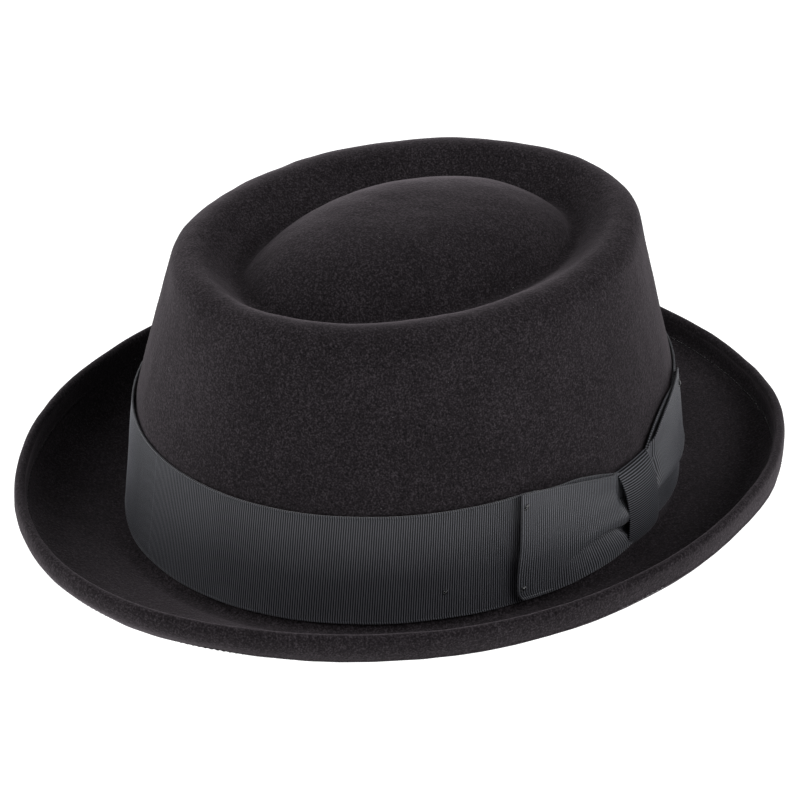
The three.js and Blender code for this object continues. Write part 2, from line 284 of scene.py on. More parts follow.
def mesh_object(name, points, faces, material, uv=None, shade=True):
    """Mesh piece from points in millimetres. uv is one pair of numbers for each point."""
    mesh = bpy.data.meshes.new(name)
    mesh.from_pydata((np.asarray(points) * MM).tolist(), [], faces)
    mesh.validate()
    if uv is not None:
        layer = mesh.uv_layers.new(name="weave")
        corner = np.empty(len(mesh.loops), dtype=np.int32)
        mesh.loops.foreach_get("vertex_index", corner)
        layer.data.foreach_set("uv", np.asarray(uv, dtype=np.float32)[corner].ravel())
    if shade:
        mesh.shade_smooth()
    piece = bpy.data.objects.new(name, mesh)
    bpy.context.collection.objects.link(piece)
    mesh.materials.append(material)
    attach(piece, "root")
    return piece


# Materials
def node_tree(name):
    material = bpy.data.materials.new(name)
    material.use_nodes = True
    tree = material.node_tree
    shader = tree.nodes["Principled BSDF"]
    return material, tree, shader


def add(tree, kind, **settings):
    node = tree.nodes.new(kind)
    for key, value in settings.items():
        setattr(node, key, value)
    return node


def put(node, values):
    for name, value in values.items():
        node.inputs[name].default_value = value


def object_place(tree):
    return add(tree, "ShaderNodeTexCoord").outputs["Object"]


def noise(tree, place, scale, detail, rough):
    node = add(tree, "ShaderNodeTexNoise")
    put(node, {"Scale": scale, "Detail": detail, "Roughness": rough})
    tree.links.new(place, node.inputs["Vector"])
    return node.outputs["Fac"]


def math_node(tree, operation, *operands):
    """Sum, product or the like of numbers and sockets."""
    node = add(tree, "ShaderNodeMath", operation=operation)
    for socket, value in zip(node.inputs, operands):
        if isinstance(value, (int, float)):
            socket.default_value = value
        else:
            tree.links.new(value, socket)
    return node.outputs[0]


def weighted(tree, *parts):
    """Sum of values, each with its weight."""
    total = math_node(tree, "MULTIPLY", *parts[0])
    for value, weight in parts[1:]:
        total = math_node(tree, "MULTIPLY_ADD", value, weight, total)
    return total


def colour(red, green, blue):
    return (red, green, blue, 1.0)


def tint(tree, shader, tone, *stops):
    """Base colour from a tone: each stop is a place on the ramp and its red, green and blue."""
    node = add(tree, "ShaderNodeValToRGB")
    ends = node.color_ramp.elements
    for end, (position, shade) in zip((ends[0], ends[1]), (stops[0], stops[-1])):
        end.position, end.color = position, colour(*shade)
    for position, shade in stops[1:-1]:
        ends.new(position).color = colour(*shade)
    tree.links.new(tone, node.inputs[0])
    tree.links.new(node.outputs[0], shader.inputs["Base Color"])


def roughen(tree, shader, height, strength, distance):
    rise = add(tree, "ShaderNodeBump")
    put(rise, {"Strength": strength, "Distance": distance})
    tree.links.new(height, rise.inputs["Height"])
    tree.links.new(rise.outputs[0], shader.inputs["Normal"])


def felt_material():
    material, tree, shader = node_tree("black_felt")
    place = object_place(tree)
    fine = noise(tree, place, 1650, 2, 0.5)
    grain = noise(tree, place, 760, 3, 0.6)
    cloud = noise(tree, place, 38, 3, 0.5)
    tone = weighted(tree, (fine, 0.62), (grain, 0.26), (cloud, 0.12))
    tint(
        tree, shader, tone,
        (0.34, (0.0018, 0.0015, 0.0018)),
        (0.50, (0.0118, 0.0099, 0.0114)),
        (0.66, (0.0390, 0.0334, 0.0378)),
    )
    roughen(tree, shader, weighted(tree, (fine, 0.45), (grain, 1.0)), 0.6, 0.00035)
    put(shader, {
        "Roughness": 0.97,
        "Specular IOR Level": 0.08,
        "Sheen Weight": 0.14,
        "Sheen Roughness": 0.45,
        "Sheen Tint": colour(1.0, 0.88, 0.97),
    })
    return material


# Threads that pass over each rib, about six to the millimetre
THREAD_PITCH = 0.17


def ribbon_material(name, rib_light_sharpness, gloss, sheen):
    """Grosgrain: uv holds the place along the ribbon in ribs and across it in millimetres."""
    material, tree, shader = node_tree(name)
    coordinates = add(tree, "ShaderNodeTexCoord")
    place = coordinates.outputs["Object"]
    split = add(tree, "ShaderNodeSeparateXYZ")
    tree.links.new(coordinates.outputs["UV"], split.inputs[0])
    ribs, across = split.outputs[0], split.outputs[1]
    # Painted light and shade of the ribs: 1 on the crest, where a painted highlight goes, 0 in the
    # valley, where painted shade goes
    phase = math_node(tree, "FRACT", ribs)
    painted_rib_light = math_node(tree, "SINE", math_node(tree, "MULTIPLY", phase, np.pi))
    painted_rib_light = math_node(tree, "POWER", painted_rib_light, rib_light_sharpness)
    turned = math_node(tree, "MULTIPLY", across, FULL_TURN / THREAD_PITCH)
    thread = math_node(tree, "SINE", turned)
    thread = math_node(tree, "ADD", math_node(tree, "MULTIPLY", thread, 0.5), 0.5)
    speck = noise(tree, place, 1500, 3, 0.6)
    slub = noise(tree, place, 60, 3, 0.5)
    tone = weighted(tree, (painted_rib_light, 0.70), (thread, 0.06), (speck, 0.16), (slub, 0.08))
    # The ramp turns the painted rib light into a painted highlight on each crest and painted shade
    # in each valley; speck, slub and threads are the ribbon's own tone
    tint(
        tree, shader, tone,
        (0.16, (0.0008, 0.0008, 0.0010)),
        (0.50, (0.0155, 0.0160, 0.0188)),
        (0.86, (0.1110, 0.1135, 0.1290)),
    )
    roughen(tree, shader, weighted(tree, (thread, 0.35), (speck, 0.4)), 0.35, 0.00006)
    rough = math_node(tree, "ADD", 0.42, math_node(tree, "MULTIPLY", speck, 0.2))
    tree.links.new(rough, shader.inputs["Roughness"])
    put(shader, {"Specular IOR Level": gloss, "Sheen Weight": sheen, "Sheen Roughness": 0.35})
    return material


def thread_material():
    material, tree, shader = node_tree("black_thread")
    twist = add(tree, "ShaderNodeTexWave", wave_type="BANDS", bands_direction="DIAGONAL")
    put(twist, {"Scale": 900, "Distortion": 1.5})
    tree.links.new(object_place(tree), twist.inputs["Vector"])
    tone = twist.outputs["Fac"]
    tint(tree, shader, tone, (0.1, (0.004, 0.004, 0.005)), (0.9, (0.022, 0.022, 0.024)))
    put(shader, {"Roughness": 0.16, "Specular IOR Level": 1.0})
    return material


def mottled_material(name, scale, dark, pale, values):
    """Material that drifts between two colours over patches of one size."""
    material, tree, shader = node_tree(name)
    tone = noise(tree, object_place(tree), scale, 2, 0.5)
    tint(tree, shader, tone, (0.3, dark), (0.7, pale))
    put(shader, values)
    return material


FELT_LOOK = felt_material()
# The second number sets how narrow the painted highlight on each rib's crest is
BAND_LOOK = ribbon_material("black_grosgrain", 2.0, 0.32, 0.12)
BOW_LOOK = ribbon_material("soft_grosgrain", 1.4, 0.32, 0.12)
KNOT_LOOK = ribbon_material("tight_grosgrain", 2.6, 0.10, 0.03)
THREAD_LOOK = thread_material()
NAP_LOOK = mottled_material(
    "felt_nap", 700, (0.010, 0.0092, 0.0102), (0.046, 0.043, 0.046),
    {"Roughness": 0.8, "Specular IOR Level": 0.2},
)
LINT_LOOK = mottled_material(
    "pale_lint", 300, (0.10, 0.10, 0.105), (0.42, 0.41, 0.42), {"Roughness": 0.85},
)

# Felt: upper face, rounded edge and underside, as one closed skin with AROUND columns
AROUND = 288
FELT_ANGLES = np.arange(AROUND) * FULL_TURN / AROUND
NOSE_ANGLES = np.radians(np.arange(18, 163, 18))
# Soft unevenness of blocked felt: height, size and seed of each swell. There is none below
# CALM_BELOW, so the seat stays flat, and it comes in over CALM_FADE above that
SWELLS = [(0.16, 46, 3), (0.05, 11, 4)]
CALM_BELOW = 3.2
CALM_FADE = 6
# The row of stitches pulls the felt in: distance from the edge, depth and half width
SEAM_DISTANCE = 6.6
SEAM_DEPTH = 0.28
SEAM_WIDTH = 0.45
# Underside below this height is the seat and lies at the floor
SEAT_HEIGHT = 0.15
# Rows of the underside that are all kept: beyond them every second one is enough
FINE_UNDER_ROWS = 46


def felt_faces(angle):
    """Upper points, directions out and along, thickness and the middle of the tip."""
    points, along, thick, middle = profile(angle)
    across = unit(profile(angle + ANGLE_STEP)[0] - profile(angle - ANGLE_STEP)[0])
    out = unit(np.cross(across, along))
    return points, out, along, thick, middle


def uneven(points, out):
    swell = sum(height * waves(points, size, seed) for height, size, seed in SWELLS)
    calm = smooth((points[..., 2] - CALM_BELOW) / CALM_FADE)
    return points + out * (swell * calm)[..., None]


def skin_faces(rows):
    """Faces of a skin with rows points in each column, closed by a point at each end."""
    j, r = np.meshgrid(np.arange(AROUND), np.arange(rows - 1), indexing="ij")
    k = (j + 1) % AROUND
    corner = [j * rows + r, j * rows + r + 1, k * rows + r + 1, k * rows + r]
    top = AROUND * rows
    bottom = top + 1
    pairs = [(a, (a + 1) % AROUND) for a in range(AROUND)]
    fan = [(top, a * rows, b * rows) for a, b in pairs]
    fan += [(bottom, b * rows + rows - 1, a * rows + rows - 1) for a, b in pairs]
    return np.stack(corner, -1).reshape(-1, 4).tolist() + fan


def felt_piece():
    points, out, along, thick, middle = felt_faces(FELT_ANGLES)
    upper = uneven(points, out)
    welt_rows = len(WELT_DISTANCES)
    seam = SEAM_DEPTH * bump(np.array(WELT_DISTANCES), SEAM_DISTANCE, SEAM_WIDTH)
    upper[:welt_rows] -= out[:welt_rows] * seam[:, None, None]
    under = upper - out * thick[:, None, None]
    under[under[..., 2] < SEAT_HEIGHT, 2] = 0
    edge, radius = upper[0] - out[0] * thick[0] / 2, thick[0] / 2
    nose = [
        edge + out[0] * radius * np.cos(turned) - along[0] * radius * np.sin(turned)
        for turned in NOSE_ANGLES
    ]
    count = len(under)
    keep = [r for r in range(count) if r < FINE_UNDER_ROWS or r % 2 == 0 or r == count - 1]
    loop = np.concatenate([upper[::-1], np.stack(nose), under[keep]])
    verts = loop.transpose(1, 0, 2).reshape(-1, 3)
    verts = np.concatenate([verts, [middle], [middle - (0, 0, FELT)]])
    piece = mesh_object("felt_shell", verts, skin_faces(len(loop)), FELT_LOOK)
    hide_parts("felt_body")
    return upper, under, out


UPPER, UNDER, OUT = felt_piece()


# Places on the crown's side
def wall_point(angle, climb, off):
    """Point up the crown's wall from the brim and out from it."""
    shape = np.broadcast_shapes(np.shape(angle), np.shape(climb), np.shape(off))
    angle, climb, off = (np.broadcast_to(v, shape).ravel() for v in (angle, climb, off))

    def place(turned):
        base = oval_point("base", turned, FELT)
        way = unit(oval_point("shoulder", turned, SHOULDER_HEIGHT) - base)
        return base + way * climb[:, None], way

    point, way = place(angle)
    across = unit(place(angle + ANGLE_STEP)[0] - place(angle - ANGLE_STEP)[0])
    return (point + unit(np.cross(across, way)) * off[:, None]).reshape(*shape, 3)


# How far the middles of the band and of the bow's back layer lie off the wall
BAND_OFF = 0.8
BACK_OFF = 1.6
BAND_MIDDLE = BAND_LIFT + BAND_WIDTH / 2
ROUND_ANGLES = np.linspace(0, FULL_TURN, 1441)
ROUND_REACH = reached(wall_point(ROUND_ANGLES, BAND_MIDDLE, BAND_OFF))
BAND_LENGTH = ROUND_REACH[-1]
BOW_REACH = np.interp(np.radians(BOW_ANGLE), ROUND_ANGLES, ROUND_REACH)


def on_wall(along, climb, off):
    """Point on the crown's side at a distance along the band from the bow's middle."""
    reach = np.mod(BOW_REACH + np.asarray(along, dtype=float), BAND_LENGTH)
    return wall_point(np.interp(reach, ROUND_REACH, ROUND_ANGLES), climb, off)


def wing_share(along):
    """Share of the way out along a wing of the bow: 0 beside the knot, 1 at the end."""
    start = KNOT_WIDTH / 2 + 1
    return np.clip((np.abs(along) - start) / (BOW_LENGTH / 2 - start), 0, 1)


# Ribbon as cloth: its thickness, one rib to the next, and how deep the valleys between ribs are
BAND_CLOTH = 0.7
BOW_CLOTH = 0.6
BAND_RIB = 0.795
BOW_RIB = 0.74
KNOT_RIB = 0.84
BAND_VALLEY = 0.29
BOW_VALLEY = 0.17
KNOT_VALLEY = 0.45
# Places within one rib where the mesh has a column, how pointed its valleys are, and distances
# of the rows at the woven edge
RIB_COLUMNS = np.array([0.0, 0.2, 0.5, 0.8])
RIB_ROUNDNESS = 0.6
EDGE_ROWS = np.array([0, 0.2, 0.45, 0.8, 1.2])
# Woven edge: the share of the ribs' depth there, the distance from the edge where they begin
# to deepen and the width over which they do, then the bead's height, distance and half width
EDGE_FADE = 0.35
EDGE_FADE_START = 0.35
EDGE_FADE_WIDTH = 0.5
BEAD_HEIGHT = 0.10
BEAD_DISTANCE = 0.32
BEAD_WIDTH = 0.26


def rib_relief(phase, valley):
    return -valley * (1 - np.abs(np.sin(np.pi * phase)) ** RIB_ROUNDNESS)


def ribbon_grid(name, node, look, middle, ribs, across, thickness, valley, out_sign=1):
    """Closed loop of ribbon round a middle surface (columns along it, rows across it).

    ribs is the rib count at each column, across the distance across the ribbon at each row."""
    ahead = np.roll(middle, -1, 0) - np.roll(middle, 1, 0)
    aside = np.gradient(middle, axis=1)
    out = unit(np.cross(ahead, aside)) * out_sign
    columns, rows = middle.shape[:2]
    across = np.broadcast_to(across, (columns, rows))
    edge = np.minimum(across, across[:, -1:] - across)
    fade = mix(EDGE_FADE, 1.0, smooth((edge - EDGE_FADE_START) / EDGE_FADE_WIDTH))
    bead = BEAD_HEIGHT * bump(edge, BEAD_DISTANCE, BEAD_WIDTH)
    relief = rib_relief(ribs % 1, valley)[:, None] * fade + bead
    front = middle + out * (thickness / 2 + relief)[..., None]
    rear = middle - out * (thickness / 2)
    ring = np.concatenate([front, rear[:, ::-1]], 1)
    size = ring.shape[1]
    there_and_back = np.concatenate([across, across[:, ::-1]], 1)
    uv = np.stack([np.repeat(ribs, size), there_and_back.ravel()], -1)
    i, j = np.meshgrid(np.arange(columns), np.arange(size), indexing="ij")
    a, b = i * size, (i + 1) % columns * size
    k = (j + 1) % size
    quads = np.stack([a + j, b + j, b + k, a + k], -1).reshape(-1, 4)[:, ::out_sign]
    piece = mesh_object(name, ring.reshape(-1, 3), quads.tolist(), look, uv)
    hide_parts(node)
    return piece


def rib_places(length, pitch):
    """Distances along a ribbon for the columns of its ribs, and the rib count at each."""
    count = round(length / pitch)
    ribs = (np.arange(count)[:, None] + RIB_COLUMNS[None]).ravel()
    return ribs * length / count, ribs


def rows_across(width, count):
    """Distances across a flat ribbon, closest at its woven edges."""
    inside = np.linspace(EDGE_ROWS[-1], width - EDGE_ROWS[-1], count)[1:-1]
    return np.concatenate([EDGE_ROWS, inside, width - EDGE_ROWS[::-1]])


# Band: how far the bow pulls its edges together, how its ribs lean at each edge as shares of a
# rib, and its slight waves: height, size and seed
BAND_PINCH_TOP = 11.0
BAND_PINCH_FOOT = 3.5
LEAN_AT_FOOT = 0.3
LEAN_AT_TOP = 0.2
LEAN_WIDTH = 1.2
BAND_WAVE = (0.07, 30, 21)


def band_piece():
    along, ribs = rib_places(BAND_LENGTH, BAND_RIB)
    offset = np.mod(along - BOW_REACH + BAND_LENGTH / 2, BAND_LENGTH) - BAND_LENGTH / 2
    pinch = 1 - smooth(wing_share(offset))
    v = rows_across(BAND_WIDTH, 7)
    low = BAND_LIFT + BAND_PINCH_FOOT * pinch
    high = BAND_LIFT + BAND_WIDTH - BAND_PINCH_TOP * pinch
    climb = low[:, None] + (high - low)[:, None] * (v / BAND_WIDTH)[None]
    # Ribs lean a little where they turn into the woven edges
    at_foot = LEAN_AT_FOOT * BAND_RIB * (1 - smooth(v / LEAN_WIDTH))
    at_top = LEAN_AT_TOP * BAND_RIB * (1 - smooth((BAND_WIDTH - v) / LEAN_WIDTH))
    place = offset[:, None] + (at_foot - at_top)[None]
    height, size, seed = BAND_WAVE
    off = BAND_OFF + height * waves(np.stack([place, climb, 0 * place], -1), size, seed)
    middle = on_wall(place, climb, off)
    piece = ribbon_grid(
        "grosgrain_band", "hat_band", BAND_LOOK, middle, ribs, v, BAND_CLOTH, BAND_VALLEY,
    )


band_piece()

# Bow: two layers of one ribbon, joined by a fold at each end. FOLD is the fold's radius, TUCK
# how far the back layer is tucked in, LEFT_STRETCH how much longer the left wing is
FOLD = 0.7
FOLD_BELLY = 0.3
TUCK = 4.4
LEFT_STRETCH = 2.5
BOW_END = BOW_LENGTH / 2 - FOLD
# Lower and upper edge of the wings beside the knot and at the ends, and how much of the upper
# edge the knot hides
FOOT_AT_END = 4.8
FOOT_AT_KNOT = 9.2
TOP_AT_KNOT = 35.8
TOP_RISE = 9.6
TOP_HIDDEN = 2.8
# How far the front layer stands off the wall: at the ends of the left and right wings with
# its belly, beside the knot below and above, and the left wing's belly
LEFT_END_OFF = 3.6
RIGHT_END_OFF = 2.4
END_BELLY = 0.4
KNOT_LOW_OFF = 5.6
KNOT_TOP_OFF = 3.6
LEFT_BELLY = 0.6
# Depths of the pleat on each wing, of the shallow step where the left crease starts, of the
# turn under the knot and of the second fold, and the height of the roll along the crease
LEFT_PLEAT = 3.3
RIGHT_PLEAT = 2.6
CREASE_START = 1.1
TURN_UNDER = 2.3
SECOND_FOLD = 0.5
CREASE_ROLL = 0.5
# How far the left crease hangs over the flap, how far up the strip folded under the right wing
# reaches as a share of its width, and how far the left flap leans toward the knot at its foot
CREASE_LAP = 0.8
FOLDED_UNDER = 0.8
FLAP_LEAN = 5.5
# Least gap between the two layers
LAYER_GAP = 0.05


def wing_edges(along):
    """Climb of the wing's lower and upper edge."""
    w = wing_share(along)
    low = FOOT_AT_END + (FOOT_AT_KNOT - FOOT_AT_END) * (1 - w) ** 2.6
    rise = np.where(along < 0, 1 - (1 - w) ** 1.6, 1 - (1 - w) ** 4)
    hidden = TOP_HIDDEN * smooth((KNOT_WIDTH / 2 + 0.4 - np.abs(along)) / 2.4)
    return low, TOP_AT_KNOT + TOP_RISE * rise - hidden


def crease_line(along):
    """Where the pleat's crease crosses the wing, as a share of its height."""
    w = wing_share(along)
    return np.where(along < 0, 0.345 + 0.6 * w - 1.35 * w * w, 0.45 - 0.24 * w)


# Rows round the crease, as shares of the wing's height from it
CREASE_ROWS = np.concatenate([
    np.linspace(-0.06, -0.012, 7), np.linspace(-0.008, 0.012, 6), np.linspace(0.02, 0.06, 4),
])


def wing_rows(along):
    """Rows across the wing, gathered round the crease: shares of its height."""
    line = np.clip(crease_line(along), 0.07, 0.9)
    edge = EDGE_ROWS / BAND_WIDTH
    below = np.linspace(edge[-1], line - 0.065, 9)[1:]
    above = np.linspace(line + 0.075, 1 - edge[-1], 19)[:-1]
    return np.concatenate([edge, below, line + CREASE_ROWS, above, 1 - edge[::-1]])


def pleat(w, left, line, v):
    """Strength of the pleat along the wing, and the step down across its crease."""
    strength = np.where(left, 1 - smooth((w - 0.33) / 0.25), 1.0)
    return strength, smooth((line + 0.006 - v) / 0.016)


def front_off(w, left, line, v):
    """Distance of the front layer off the wall."""
    at_end = np.where(left, LEFT_END_OFF, RIGHT_END_OFF) + END_BELLY * np.sin(np.pi * v)
    at_knot = mix(KNOT_LOW_OFF, KNOT_TOP_OFF, smooth((v - 0.35) / 0.6))
    belly = LEFT_BELLY * left * np.sin(np.pi * w) * np.sin(np.pi * v)
    off = mix(at_knot, at_end, smooth(w)) + belly
    # Pleat: the upper part ends in a crisp crease and the flap comes out from under it
    strength, step = pleat(w, left, line, v)
    below = np.maximum(line - v, 0)
    flap = np.exp(-(below / (0.20 + 0.1 * w)) ** 2)
    pocket = smooth((v / line - 0.1 - 3.0 * w) / 0.3)
    hollow = np.where(left, np.maximum(flap, pocket), 1.0)
    off = off - np.where(left, LEFT_PLEAT, RIGHT_PLEAT) * strength * step * hollow
    off = off + CREASE_ROLL * strength * bump(v, line + 0.05, 0.07) * (1 - step)
    # The crease starts as a shallow step that runs out below
    start = CREASE_START * left * smooth((0.60 - w) / 0.10) * (1 - strength)
    off = off - start * step * np.exp(-below / 0.07)
    # The wing turns in under the knot, except where the upper fold meets it
    dive = np.exp(-((w / 0.055) ** 2)) * smooth(np.abs(v - 0.44) / 0.22)
    off = off - TURN_UNDER * dive * (1 - 0.8 * step)
    # Second, softer fold near the top
    off = off - SECOND_FOLD * (1 - smooth((w - 0.05) / 0.5)) * bump(v, 0.80, 0.09)
    return np.maximum(off, BACK_OFF + BOW_CLOTH + LAYER_GAP)


def front_surface(along, v):
    """Climb, distance off the wall and shift along for the front layer.

    v runs 0 to 1 up the wing."""
    w = wing_share(along)
    left = along < 0
    low, high = wing_edges(along)
    line = crease_line(along)
    strength, step = pleat(w, left, line, v)
    # At the crease the left wing doubles back and hangs over the flap. The right wing's strip
    # below the crease is folded under it
    lap = CREASE_LAP * left * np.sqrt(np.maximum(strength, 0)) * (1 - 2 * step)
    lap = lap * bump(v, line, 0.045)
    under = low + (high - low) * (line + FOLDED_UNDER * np.maximum(line - v, 0))
    climb = np.where(left | (v > line), low + (high - low) * v, under) - lap
    lean = FLAP_LEAN * left * (1 - w) ** 1.4 * np.clip((line + 0.02 - v) / 0.35, 0, 1)
    # Neither end is quite straight
    ending = w ** 6 * (1.2 * bump(v, 0.2, 0.22) - 1.8 * bump(v, 0.0, 0.045))
    shift = np.where(left, lean - ending - LEFT_STRETCH * w, ending - 4 * w * w * (v - 0.5))
    return climb, front_off(w, left, line, v), shift


def back_climb(along, share):
    """Climb of the back layer: it stands a little above the front one near the knot only."""
    low, high = wing_edges(along)
    w = wing_share(along)
    folded = (high - low) * crease_line(along) * smooth(w / 0.1)
    low = np.where(along < 0, low, low + folded)
    over = 0.5 * (1 - w) * smooth(w / 0.25) - 1.5 * smooth((w - 0.4) / 0.35)
    return low + 0.5 + (high - low - 0.5 + over) * share


def fold_points(way, part, share):
    """End of the bow: part runs 0 at the front layer to 1 at the back layer, which is tucked in."""
    along = np.full(len(share), way * BOW_END)
    climb, off, shift = front_surface(along, share)
    turned = np.pi * part
    bulge = (FOLD + FOLD_BELLY * np.sin(np.pi * share)) * np.sin(turned)
    reach = way * (bulge - TUCK * smooth(part))
    depth = mix(BACK_OFF, off, (1 + np.cos(turned)) / 2)
    climb = mix(climb, back_climb(along, share), part)
    return on_wall(along + shift * (1 - smooth(part)) + reach, climb, depth)


def bow_column(stretch, length, s):
    """Points across the bow at a distance s along one stretch, and their shares of the width."""
    if stretch == "front":
        along = -BOW_END + s
        share = wing_rows(along)
        climb, off, shift = front_surface(np.full(len(share), along), share)
        return on_wall(along + shift, climb, off), share
    if stretch == "back":
        along = BOW_END - TUCK - s
        share = wing_rows(along)
        return on_wall(along, back_climb(np.full(len(share), along), share), BACK_OFF), share
    way = 1 if stretch == "right" else -1
    share = wing_rows(way * BOW_END)
    part = s / length if stretch == "right" else 1 - s / length
    return fold_points(way, part, share), share


def bow_piece():
    front, fold, back = 2 * BOW_END, np.pi * FOLD, 2 * (BOW_END - TUCK)
    # Each stretch with its length and the mesh columns to a rib
    stretches = [("front", front, 4), ("right", fold, 6), ("back", back, 1), ("left", fold, 6)]
    middle, ribs, across = [], [], []
    start = 0
    for stretch, length, fineness in stretches:
        count = round(length / BOW_RIB)
        steps = count * fineness
        for k in range(steps):
            column, share = bow_column(stretch, length, length * k / steps)
            middle.append(column)
            ribs.append(start + k / fineness)
            across.append(share * BAND_WIDTH)
        start += count
    piece = ribbon_grid(
        "bow_ribbon", "bow", BOW_LOOK, np.array(middle), np.array(ribs), np.array(across),
        BOW_CLOTH, BOW_VALLEY,
    )


bow_piece()

# Knot: climb and distance off the wall of the marks its ribbon passes, down its front and up
# its back
KNOT_MARKS = np.array([
    (35.3, 1.5), (35.3, 2.2), (34.2, 3.3), (31.4, 4.6), (27.2, 5.8), (22.0, 6.4), (16.6, 6.4),
    (11.8, 6.0), (8.6, 5.1), (7.1, 3.8), (7.0, 2.5), (8.0, 1.65), (13.0, 1.55), (22.0, 1.55),
    (30.0, 1.4), (34.4, 1.1),
])
KNOT_CURVE_STEPS = 24
# It flares from the middle of its climb to its ends, leans to the front as it climbs, and is
# crowned across its width where it stands off the wall
KNOT_MIDDLE = 21
KNOT_HALF = 15
KNOT_FLARE = 0.8
KNOT_LEAN = 0.03
KNOT_CROWN = 0.9
CROWN_FLATNESS = 2.5
CROWN_START = 2.5
CROWN_RUN = 2.5


def closed_curve(marks):
    """Smooth closed curve through marks."""
    fine, count = [], len(marks)
    for k in range(count):
        p0, p1, p2, p3 = (marks[(k + d) % count] for d in (-1, 0, 1, 2))
        straight, bend = p2 - p0, 2 * p0 - 5 * p1 + 4 * p2 - p3
        for u in np.linspace(0, 1, KNOT_CURVE_STEPS, endpoint=False):
            twist = (3 * p1 - p0 - 3 * p2 + p3) * u ** 3
            fine.append(p1 + 0.5 * (straight * u + bend * u * u + twist))
    return np.array(fine + [fine[0]])


def knot_piece():
    fine = closed_curve(KNOT_MARKS)
    reach = reached(fine)
    total = reach[-1]
    places, ribs = rib_places(total, KNOT_RIB)
    climb, off = (np.interp(places, reach, fine[:, part])[:, None] for part in (0, 1))
    v = rows_across(KNOT_WIDTH, 13)
    flare = (np.abs(climb - KNOT_MIDDLE) / KNOT_HALF) ** 2
    place = (v[None] - KNOT_WIDTH / 2) * (1 + 2 * KNOT_FLARE / KNOT_WIDTH * flare)
    roundness = (1 - np.abs(2 * v / KNOT_WIDTH - 1) ** CROWN_FLATNESS)[None]
    crown = KNOT_CROWN * roundness * smooth((off - CROWN_START) / CROWN_RUN)
    lean = KNOT_LEAN * (climb - KNOT_MIDDLE)
    middle = on_wall(place - lean, climb, off + crown - KNOT_CROWN / 2)
    piece = ribbon_grid(
        "knot_ribbon", "bow_knot", KNOT_LOOK, middle, ribs, v, BOW_CLOTH, KNOT_VALLEY, -1,
    )


knot_piece()

# Threads: short round stitches between two points on a surface
STITCH_RINGS = 6
STITCH_SIDES = 6
STITCH_END = 0.55


def stitch(a, b, out, radius, lift):
    """Arched thread from a to b: points in rings, and faces."""
    way = unit(b - a)
    side = unit(np.cross(way, out))
    points = []
    for share in np.linspace(0, 1, STITCH_RINGS):
        arch = np.sin(np.pi * share)
        centre = mix(a, b, share) + out * lift * arch
        size = radius * mix(STITCH_END, 1, arch)
        for turned in np.linspace(0, FULL_TURN, STITCH_SIDES, endpoint=False):
            points.append(centre + side * size * np.cos(turned) + out * size * np.sin(turned))
    faces = []
    last = (STITCH_RINGS - 1) * STITCH_SIDES
    for here in range(0, last, STITCH_SIDES):
        there = here + STITCH_SIDES
        for n in range(STITCH_SIDES):
            m = (n + 1) % STITCH_SIDES
            faces.append((here + n, here + m, there + m, there + n))
    faces.append(tuple(range(STITCH_SIDES))[::-1])
    faces.append(tuple(last + n for n in range(STITCH_SIDES)))
    return points, faces


def stitches_piece(name, runs):
    verts, faces = [], []
    for run in runs:
        points, quads = stitch(*run)
        base = len(verts)
        verts += points
        faces += [tuple(base + n for n in q) for q in quads]
    mesh_object(name, verts, faces, THREAD_LOOK)


# Stitch row of the welt: one stitch to the next, its length and radius, how deep its ends lie
# below the upper face and inside the underside, and how far it arches on each
SEAM_PITCH = 2.1
SEAM_STITCH = 1.45
SEAM_RADIUS = 0.17
SEAM_SUNK = 0.20
SEAM_SUNK_UNDER = 0.06
SEAM_ARCH = 0.16
SEAM_ARCH_UNDER = 0.12
SEAM_STEPS = 2401


def edge_stitches():
    """Row of stitches that holds the welt, on the brim's upper face and on its underside."""
    points, out = felt_faces(np.linspace(0, FULL_TURN, SEAM_STEPS))[:2]
    row = int(np.argmin(np.abs(np.array(WELT_DISTANCES) - SEAM_DISTANCE)))
    reach = reached(points[row])

    def at(grid, place):
        return np.array([np.interp(place, reach, grid[row][:, c]) for c in range(3)])

    count = round(reach[-1] / SEAM_PITCH)
    runs = []
    for k in range(count):
        start = k * reach[-1] / count
        ends = [at(points, start + d) for d in (0, SEAM_STITCH)]
        normal = unit(at(out, start + SEAM_STITCH / 2))
        upper = [e - normal * SEAM_SUNK for e in ends]
        lower = [e - normal * (WELT - SEAM_SUNK_UNDER) for e in ends]
        runs.append((*upper, normal, SEAM_RADIUS, SEAM_ARCH))
        runs.append((*lower, -normal, SEAM_RADIUS, SEAM_ARCH_UNDER))
    return runs


def wall_stitch(along, climb, off, run, rise, radius, lift):
    a = on_wall(along - run / 2, climb - rise / 2, off)
    b = on_wall(along + run / 2, climb + rise / 2, off)
    out = unit(on_wall(along, climb, off + 1) - on_wall(along, climb, off))
    return a, b, out, radius, lift


# Tacks of the bow: place along and up the wall. Each has three threads: how far they are moved
# along and up from it, how deep they are sunk, then their run, rise, radius and lift
BOW_TACKS = [(-51.3, 40.6), (-52.0, 9.5), (46.0, 40.4), (47.2, 12.5)]
TACK_THREADS = [
    (0.0, 0.0, 0.0, 0.5, 2.1, 0.40, 0.45),
    (0.6, 0.3, 0.1, 0.9, 1.3, 0.30, 0.30),
    (-0.4, -0.6, 0.1, 1.2, -0.5, 0.30, 0.30),
]
TACK_OFF = 0.30
# Foot and height of the wing at its end, which turn a tack's climb into a share
TACK_FOOT = 3.4
TACK_HEIGHT = 40.4
# Crossed tack on the band: angle and climb, and rise and lift of its two threads
BAND_TACK_ANGLE = 71.4
BAND_TACK_CLIMB = 13.1
BAND_TACK_OFF = BAND_OFF + 0.33
BAND_TACK_RUN = 1.7
BAND_TACK_RADIUS = 0.19
BAND_TACK_THREADS = [(1.7, 0.2), (-1.7, 0.3)]


